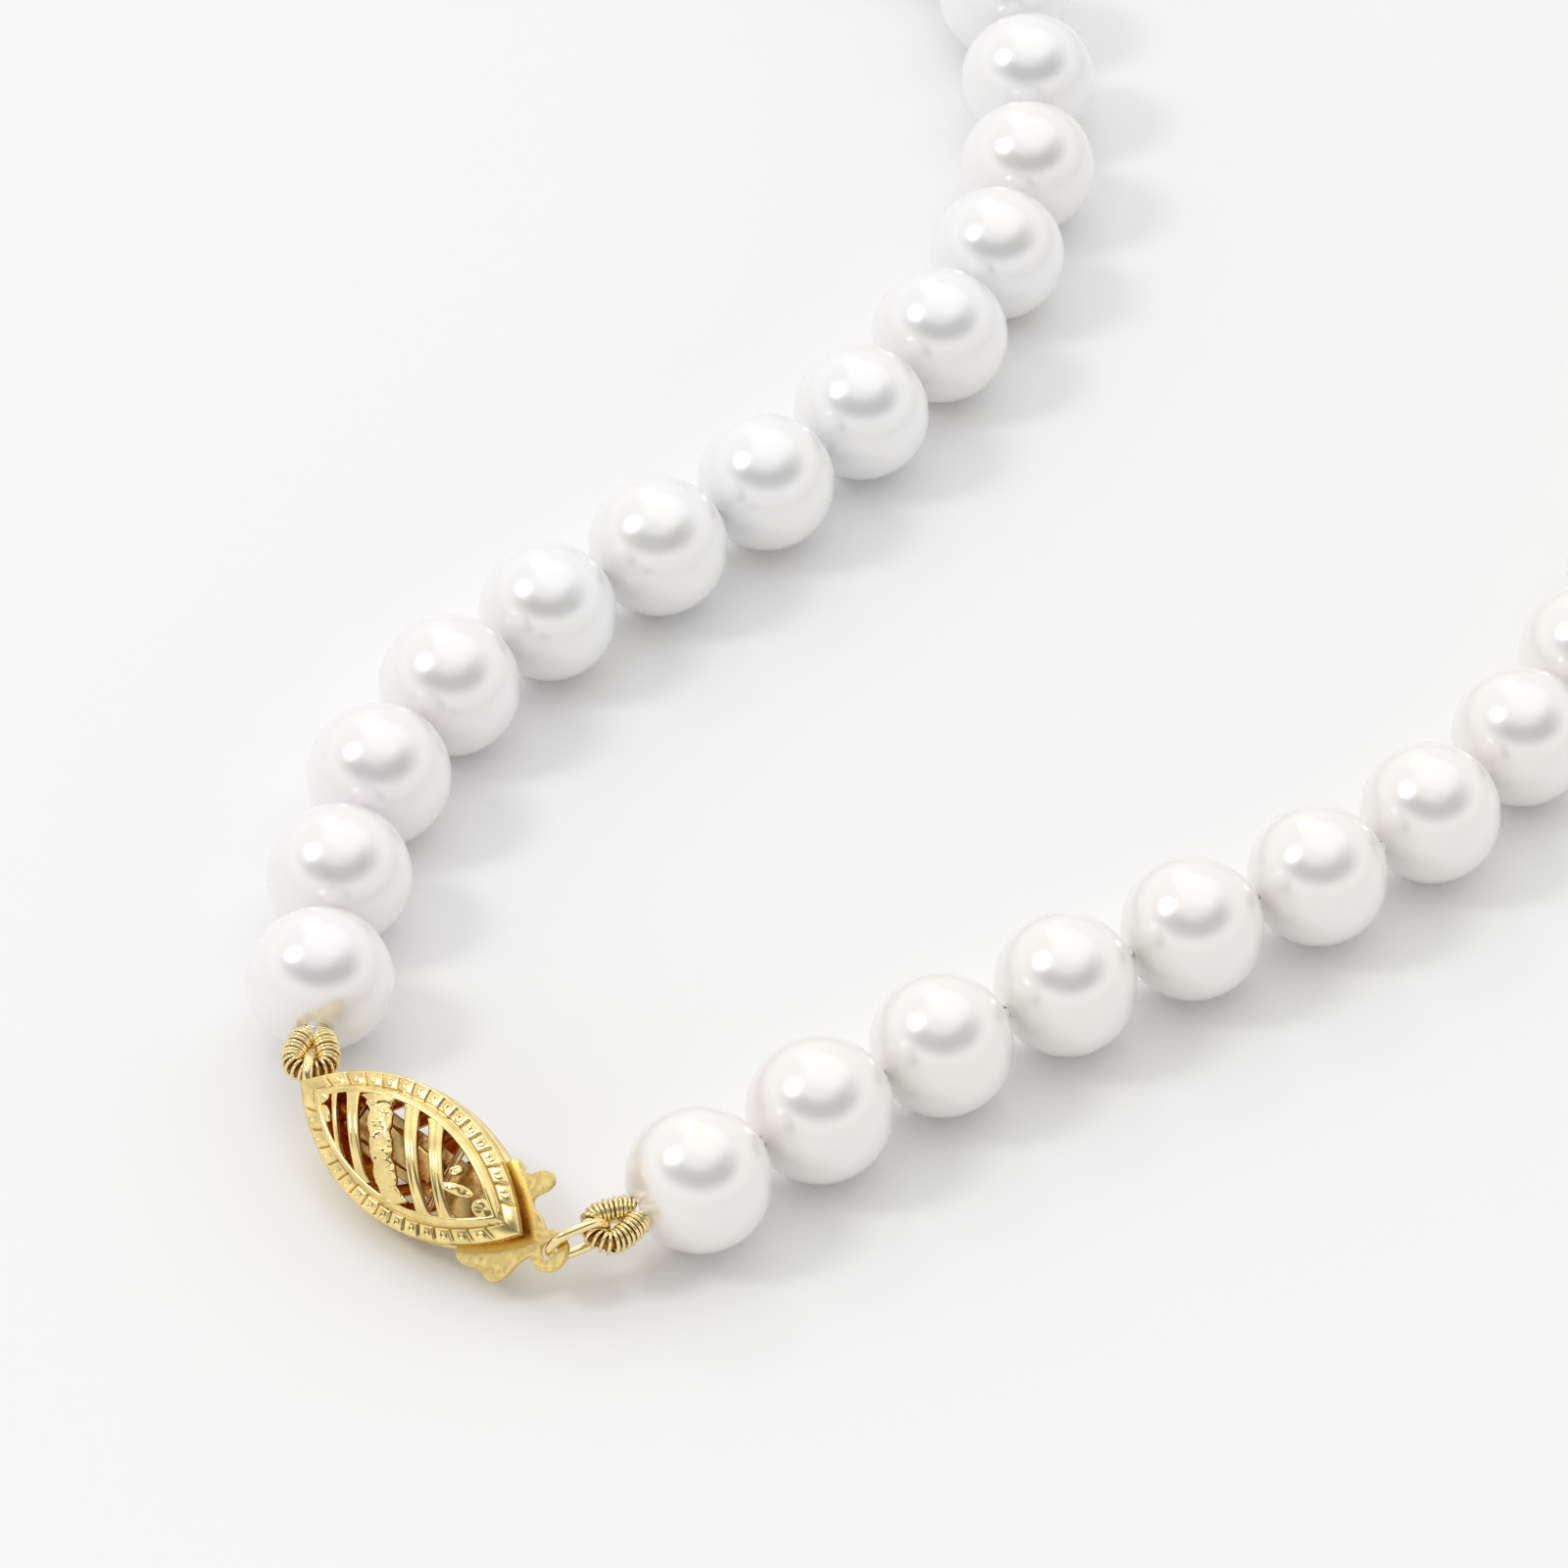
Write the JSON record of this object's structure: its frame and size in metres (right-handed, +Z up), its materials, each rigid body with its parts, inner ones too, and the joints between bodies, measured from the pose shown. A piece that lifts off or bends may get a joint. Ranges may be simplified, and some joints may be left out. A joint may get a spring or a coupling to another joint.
{
  "type": "pearl necklace",
  "caption": "Single strand of near-round white pearls knotted on silk, closed by a marquise filigree fish-hook clasp with bullion-wire ends.",
  "frame": {"origin": "under the middle of the whole necklace, on the surface that it lies on", "axes": "+Z up from the surface, +Y along the loop away from the clasp, +X towards the strand that leaves the clasp's tongue"},
  "size_m": [0.091, 0.1576, 0.0074],
  "materials": {
    "pearl": "lustrous nacre, satin to glossy",
    "gold": "polished yellow gold filigree with textured rim",
    "gold_polished": "polished round gold wire",
    "gold_wire": "coiled bright bullion wire",
    "silk": "twisted white silk"
  },
  "bodies": {
    "clasp": {"clasp_top_shell": "gold", "clasp_bottom_shell": "gold", "clasp_catch_bar": "gold", "clasp_end_ring": "gold_polished"},
    "tongue": {"tongue_plate": "gold"},
    "spring_leaf": {"tongue_spring_leaf": "gold"},
    "jump_ring": {"jump_ring": "gold_polished"},
    "gimp_left": {"gimp_left": "gold_wire", "silk_thread": "silk", "silk_knots": "silk"},
    "gimp_right": {"gimp_right": "gold_wire"},
    "pearl_01": {"pearl_01": "pearl"},
    "pearl_02": {"pearl_02": "pearl"},
    "pearl_03": {"pearl_03": "pearl"},
    "pearl_04": {"pearl_04": "pearl"},
    "pearl_05": {"pearl_05": "pearl"},
    "pearl_06": {"pearl_06": "pearl"},
    "pearl_07": {"pearl_07": "pearl"},
    "pearl_08": {"pearl_08": "pearl"},
    "pearl_09": {"pearl_09": "pearl"},
    "pearl_10": {"pearl_10": "pearl"},
    "pearl_11": {"pearl_11": "pearl"},
    "pearl_12": {"pearl_12": "pearl"},
    "pearl_13": {"pearl_13": "pearl"},
    "pearl_14": {"pearl_14": "pearl"},
    "pearl_15": {"pearl_15": "pearl"},
    "pearl_16": {"pearl_16": "pearl"},
    "pearl_17": {"pearl_17": "pearl"},
    "pearl_18": {"pearl_18": "pearl"},
    "pearl_19": {"pearl_19": "pearl"},
    "pearl_20": {"pearl_20": "pearl"},
    "pearl_21": {"pearl_21": "pearl"},
    "pearl_22": {"pearl_22": "pearl"},
    "pearl_23": {"pearl_23": "pearl"},
    "pearl_24": {"pearl_24": "pearl"},
    "pearl_25": {"pearl_25": "pearl"},
    "pearl_26": {"pearl_26": "pearl"},
    "pearl_27": {"pearl_27": "pearl"},
    "pearl_28": {"pearl_28": "pearl"},
    "pearl_29": {"pearl_29": "pearl"},
    "pearl_30": {"pearl_30": "pearl"},
    "pearl_31": {"pearl_31": "pearl"},
    "pearl_32": {"pearl_32": "pearl"},
    "pearl_33": {"pearl_33": "pearl"},
    "pearl_34": {"pearl_34": "pearl"},
    "pearl_35": {"pearl_35": "pearl"},
    "pearl_36": {"pearl_36": "pearl"},
    "pearl_37": {"pearl_37": "pearl"},
    "pearl_38": {"pearl_38": "pearl"},
    "pearl_39": {"pearl_39": "pearl"},
    "pearl_40": {"pearl_40": "pearl"},
    "pearl_41": {"pearl_41": "pearl"},
    "pearl_42": {"pearl_42": "pearl"},
    "pearl_43": {"pearl_43": "pearl"},
    "pearl_44": {"pearl_44": "pearl"},
    "pearl_45": {"pearl_45": "pearl"},
    "pearl_46": {"pearl_46": "pearl"},
    "pearl_47": {"pearl_47": "pearl"},
    "pearl_48": {"pearl_48": "pearl"}
  },
  "joints": [
    {"name": "tongue_slide", "type": "slide", "parent": "clasp", "child": "tongue", "axis": [-0.723, 0.6909, 0], "range_m": [-0.0126, 0]},
    {"name": "leaf_press", "type": "hinge", "parent": "tongue", "child": "spring_leaf", "pos_m": [-0.03964, -0.0689, 0.00314], "axis": [0.5214, 0.5456, 0.6561], "range_deg": [0, 3], "stiffness_Nm_per_rad": 0.02},
    {"name": "jump_ring_swing", "type": "hinge", "parent": "tongue", "child": "jump_ring", "pos_m": [-0.03014, -0.07785, 0.00303], "axis": [0, 0, 1], "range_deg": [0, 3.95]},
    {"name": "clasp_swing", "type": "hinge", "parent": "clasp", "child": "gimp_left", "pos_m": [-0.04214, -0.06547, 0.00333], "axis": [0.7839, -0.6209, 0.0021], "range_deg": [0, 12]},
    {"name": "gimp_right_swing", "type": "hinge", "parent": "jump_ring", "child": "gimp_right", "pos_m": [-0.0278, -0.07683, 0.00337], "axis": [0.7839, -0.6209, 0.0021], "range_deg": [0, 12]},
    {"name": "left_lift_00", "type": "hinge", "parent": "gimp_left", "child": "pearl_01", "pos_m": [-0.04203, -0.06337, 0.0037], "axis": [0.7882, -0.6154, -0.0011], "range_deg": [0, 10], "deforming": ["silk_thread", "silk_knots"]},
    {"name": "right_lift_00", "type": "hinge", "parent": "gimp_right", "child": "pearl_48", "pos_m": [-0.02586, -0.07599, 0.00368], "axis": [0.7882, -0.6154, -0.0011], "range_deg": [0, 10]},
    {"name": "left_lift_01", "type": "hinge", "parent": "pearl_01", "child": "pearl_02", "pos_m": [-0.04157, -0.05577, 0.00368], "axis": [0.8134, -0.5817, 0.0004], "range_deg": [0, 10]},
    {"name": "right_lift_01", "type": "hinge", "parent": "pearl_48", "child": "pearl_47", "pos_m": [-0.02002, -0.07117, 0.00369], "axis": [0.8134, -0.5817, 0.0004], "range_deg": [0, 10]},
    {"name": "left_lift_02", "type": "hinge", "parent": "pearl_02", "child": "pearl_03", "pos_m": [-0.04057, -0.04829, 0.00368], "axis": [0.8256, -0.5643, -0.0001], "range_deg": [0, 10]},
    {"name": "right_lift_02", "type": "hinge", "parent": "pearl_47", "child": "pearl_46", "pos_m": [-0.01407, -0.0664, 0.00368], "axis": [0.8256, -0.5643, -0.0001], "range_deg": [0, 10]},
    {"name": "left_lift_03", "type": "hinge", "parent": "pearl_03", "child": "pearl_04", "pos_m": [-0.03802, -0.04111, 0.00369], "axis": [0.8213, -0.5705, -0.001], "range_deg": [0, 10]},
    {"name": "right_lift_03", "type": "hinge", "parent": "pearl_46", "child": "pearl_45", "pos_m": [-0.008, -0.06196, 0.00366], "axis": [0.8213, -0.5705, -0.001], "range_deg": [0, 10]},
    {"name": "left_lift_04", "type": "hinge", "parent": "pearl_04", "child": "pearl_05", "pos_m": [-0.03369, -0.03488, 0.00366], "axis": [0.8127, -0.5827, -0.0001], "range_deg": [0, 10]},
    {"name": "right_lift_04", "type": "hinge", "parent": "pearl_45", "child": "pearl_44", "pos_m": [-0.0017, -0.05782, 0.00366], "axis": [0.8127, -0.5827, -0.0001], "range_deg": [0, 10]},
    {"name": "left_lift_05", "type": "hinge", "parent": "pearl_05", "child": "pearl_06", "pos_m": [-0.02821, -0.02974, 0.00366], "axis": [0.806, -0.5919, -0.0007], "range_deg": [0, 10]},
    {"name": "right_lift_05", "type": "hinge", "parent": "pearl_44", "child": "pearl_43", "pos_m": [0.00478, -0.05397, 0.00363], "axis": [0.806, -0.5919, -0.0007], "range_deg": [0, 10]},
    {"name": "left_draw_06", "type": "hinge", "parent": "pearl_06", "child": "pearl_07", "pos_m": [-0.02244, -0.02484, 0.00365], "axis": [0, 0, 1], "range_deg": [-3.9, 0]},
    {"name": "right_draw_06", "type": "hinge", "parent": "pearl_43", "child": "pearl_42", "pos_m": [0.01107, -0.05002, 0.00362], "axis": [0, 0, 1], "range_deg": [-2, 0]},
    {"name": "left_lift_07", "type": "hinge", "parent": "pearl_07", "child": "pearl_08", "pos_m": [-0.01706, -0.01964, 0.00362], "axis": [0.7997, -0.6005, 0.0001], "range_deg": [0, 10]},
    {"name": "right_lift_07", "type": "hinge", "parent": "pearl_42", "child": "pearl_41", "pos_m": [0.01647, -0.04482, 0.00363], "axis": [0.7997, -0.6005, 0.0001], "range_deg": [0, 10]},
    {"name": "left_spread_08", "type": "hinge", "parent": "pearl_08", "child": "pearl_09", "pos_m": [-0.01244, -0.0138, 0.00363], "axis": [0, 0, 1], "range_deg": [-6, 0]},
    {"name": "right_spread_08", "type": "hinge", "parent": "pearl_41", "child": "pearl_40", "pos_m": [0.02077, -0.03873, 0.00361], "axis": [0, 0, 1], "range_deg": [-5.31, 0]},
    {"name": "left_lift_09", "type": "hinge", "parent": "pearl_09", "child": "pearl_10", "pos_m": [-0.00871, -0.00729, 0.00362], "axis": [0.7971, -0.6039, 0.0001], "range_deg": [0, 10]},
    {"name": "right_lift_09", "type": "hinge", "parent": "pearl_40", "child": "pearl_39", "pos_m": [0.02397, -0.03205, 0.00362], "axis": [0.7971, -0.6039, 0.0001], "range_deg": [0, 10]},
    {"name": "left_lift_10", "type": "hinge", "parent": "pearl_10", "child": "pearl_11", "pos_m": [-0.00616, -0.00033, 0.00361], "axis": [0.7984, -0.6021, 0.0006], "range_deg": [0, 10]},
    {"name": "right_lift_10", "type": "hinge", "parent": "pearl_39", "child": "pearl_38", "pos_m": [0.02653, -0.02499, 0.00363], "axis": [0.7984, -0.6021, 0.0006], "range_deg": [0, 10]},
    {"name": "left_lift_11", "type": "hinge", "parent": "pearl_11", "child": "pearl_12", "pos_m": [-0.00526, 0.00707, 0.00363], "axis": [0.8059, -0.5921, 0], "range_deg": [0, 10]},
    {"name": "right_lift_11", "type": "hinge", "parent": "pearl_38", "child": "pearl_37", "pos_m": [0.02863, -0.01783, 0.00363], "axis": [0.8059, -0.5921, 0], "range_deg": [0, 10]},
    {"name": "left_lift_12", "type": "hinge", "parent": "pearl_12", "child": "pearl_13", "pos_m": [-0.00587, 0.01455, 0.00363], "axis": [0.8231, -0.568, 0.0008], "range_deg": [0, 10]},
    {"name": "right_lift_12", "type": "hinge", "parent": "pearl_37", "child": "pearl_36", "pos_m": [0.03052, -0.01057, 0.00366], "axis": [0.8231, -0.568, 0.0008], "range_deg": [0, 10]},
    {"name": "left_lift_13", "type": "hinge", "parent": "pearl_13", "child": "pearl_14", "pos_m": [-0.00761, 0.02179, 0.00364], "axis": [0.8481, -0.5298, 0.0006], "range_deg": [0, 10]},
    {"name": "right_lift_13", "type": "hinge", "parent": "pearl_36", "child": "pearl_35", "pos_m": [0.03241, -0.00322, 0.00367], "axis": [0.8481, -0.5298, 0.0006], "range_deg": [0, 10]},
    {"name": "left_lift_14", "type": "hinge", "parent": "pearl_14", "child": "pearl_15", "pos_m": [-0.00985, 0.02901, 0.00367], "axis": [0.8708, -0.4917, 0.0001], "range_deg": [0, 10]},
    {"name": "right_lift_14", "type": "hinge", "parent": "pearl_35", "child": "pearl_34", "pos_m": [0.03434, 0.00406, 0.00367], "axis": [0.8708, -0.4917, 0.0001], "range_deg": [0, 10]},
    {"name": "left_spread_15", "type": "hinge", "parent": "pearl_15", "child": "pearl_16", "pos_m": [-0.01202, 0.03624, 0.00366], "axis": [0, 0, 1], "range_deg": [0, 4.47]},
    {"name": "right_spread_15", "type": "hinge", "parent": "pearl_34", "child": "pearl_33", "pos_m": [0.03635, 0.01139, 0.00369], "axis": [0, 0, 1], "range_deg": [0, 3.73]},
    {"name": "left_lift_16", "type": "hinge", "parent": "pearl_16", "child": "pearl_17", "pos_m": [-0.01358, 0.04362, 0.00368], "axis": [0.9018, -0.4322, -0.0001], "range_deg": [0, 10]},
    {"name": "right_lift_16", "type": "hinge", "parent": "pearl_33", "child": "pearl_32", "pos_m": [0.0383, 0.01875, 0.00368], "axis": [0.9018, -0.4322, -0.0001], "range_deg": [0, 10]},
    {"name": "left_lift_17", "type": "hinge", "parent": "pearl_17", "child": "pearl_18", "pos_m": [-0.01396, 0.05125, 0.00369], "axis": [0.9062, -0.4228, -0.0002], "range_deg": [0, 10]},
    {"name": "right_lift_17", "type": "hinge", "parent": "pearl_32", "child": "pearl_31", "pos_m": [0.0399, 0.02612, 0.00368], "axis": [0.9062, -0.4228, -0.0002], "range_deg": [0, 10]},
    {"name": "left_lift_18", "type": "hinge", "parent": "pearl_18", "child": "pearl_19", "pos_m": [-0.01235, 0.05864, 0.00367], "axis": [0.9059, -0.4236, 0], "range_deg": [0, 10]},
    {"name": "right_lift_18", "type": "hinge", "parent": "pearl_31", "child": "pearl_30", "pos_m": [0.04115, 0.03362, 0.00368], "axis": [0.9059, -0.4236, 0], "range_deg": [0, 10]},
    {"name": "left_draw_19", "type": "hinge", "parent": "pearl_19", "child": "pearl_20", "pos_m": [-0.00863, 0.06523, 0.00368], "axis": [0, 0, 1], "range_deg": [-0.6352, 0]},
    {"name": "right_draw_19", "type": "hinge", "parent": "pearl_30", "child": "pearl_29", "pos_m": [0.04192, 0.04112, 0.00365], "axis": [0, 0, 1], "range_deg": [-6.44, 0]},
    {"name": "left_lift_20", "type": "hinge", "parent": "pearl_20", "child": "pearl_21", "pos_m": [-0.00309, 0.07044, 0.00366], "axis": [0.8992, -0.4374, -0.0004], "range_deg": [0, 10]},
    {"name": "right_lift_20", "type": "hinge", "parent": "pearl_29", "child": "pearl_28", "pos_m": [0.04181, 0.0486, 0.00364], "axis": [0.8992, -0.4374, -0.0004], "range_deg": [0, 10]},
    {"name": "left_lift_21", "type": "hinge", "parent": "pearl_21", "child": "pearl_22", "pos_m": [0.00356, 0.07388, 0.00364], "axis": [0.8981, -0.4398, -0.0003], "range_deg": [0, 10]},
    {"name": "right_lift_21", "type": "hinge", "parent": "pearl_28", "child": "pearl_27", "pos_m": [0.04017, 0.05596, 0.00363], "axis": [0.8981, -0.4398, -0.0003], "range_deg": [0, 10]},
    {"name": "left_lift_22", "type": "hinge", "parent": "pearl_22", "child": "pearl_23", "pos_m": [0.01093, 0.07541, 0.00365], "axis": [0.8957, -0.4446, -0.0013], "range_deg": [0, 10]},
    {"name": "right_lift_22", "type": "hinge", "parent": "pearl_27", "child": "pearl_26", "pos_m": [0.03679, 0.06257, 0.00361], "axis": [0.8957, -0.4446, -0.0013], "range_deg": [0, 10]},
    {"name": "left_lift_23", "type": "hinge", "parent": "pearl_23", "child": "pearl_24", "pos_m": [0.01841, 0.07488, 0.00362], "axis": [0.896, -0.444, 0.0003], "range_deg": [0, 10]},
    {"name": "right_lift_23", "type": "hinge", "parent": "pearl_26", "child": "pearl_25", "pos_m": [0.03191, 0.0682, 0.00362], "axis": [0.896, -0.444, 0.0003], "range_deg": [0, 10]}
  ],
  "couplings": [
    {"joint": "jump_ring_swing", "follows": "tongue_slide", "rad_per_m": -5.405},
    {"joint": "left_draw_06", "follows": "tongue_slide", "rad_per_m": 5.3337},
    {"joint": "right_draw_06", "follows": "tongue_slide", "rad_per_m": 2.7039},
    {"joint": "left_draw_19", "follows": "tongue_slide", "rad_per_m": 0.81057},
    {"joint": "right_draw_19", "follows": "tongue_slide", "rad_per_m": 8.8453},
    {"joint": "left_spread_15", "follows": "left_spread_08", "ratio": -0.73749},
    {"joint": "right_spread_08", "follows": "left_spread_08", "ratio": 0.87617},
    {"joint": "right_spread_15", "follows": "left_spread_08", "ratio": -0.61366},
    {"joint": "gimp_right_swing", "follows": "clasp_swing", "ratio": 1},
    {"joint": "right_lift_00", "follows": "left_lift_00", "ratio": 1},
    {"joint": "right_lift_01", "follows": "left_lift_01", "ratio": 1},
    {"joint": "right_lift_02", "follows": "left_lift_02", "ratio": 1},
    {"joint": "right_lift_03", "follows": "left_lift_03", "ratio": 1},
    {"joint": "right_lift_04", "follows": "left_lift_04", "ratio": 1},
    {"joint": "right_lift_05", "follows": "left_lift_05", "ratio": 1},
    {"joint": "right_lift_07", "follows": "left_lift_07", "ratio": 1},
    {"joint": "right_lift_09", "follows": "left_lift_09", "ratio": 1},
    {"joint": "right_lift_10", "follows": "left_lift_10", "ratio": 1},
    {"joint": "right_lift_11", "follows": "left_lift_11", "ratio": 1},
    {"joint": "right_lift_12", "follows": "left_lift_12", "ratio": 1},
    {"joint": "right_lift_13", "follows": "left_lift_13", "ratio": 1},
    {"joint": "right_lift_14", "follows": "left_lift_14", "ratio": 1},
    {"joint": "right_lift_16", "follows": "left_lift_16", "ratio": 1},
    {"joint": "right_lift_17", "follows": "left_lift_17", "ratio": 1},
    {"joint": "right_lift_18", "follows": "left_lift_18", "ratio": 1},
    {"joint": "right_lift_20", "follows": "left_lift_20", "ratio": 1},
    {"joint": "right_lift_21", "follows": "left_lift_21", "ratio": 1},
    {"joint": "right_lift_22", "follows": "left_lift_22", "ratio": 1},
    {"joint": "right_lift_23", "follows": "left_lift_23", "ratio": 1}
  ]
}
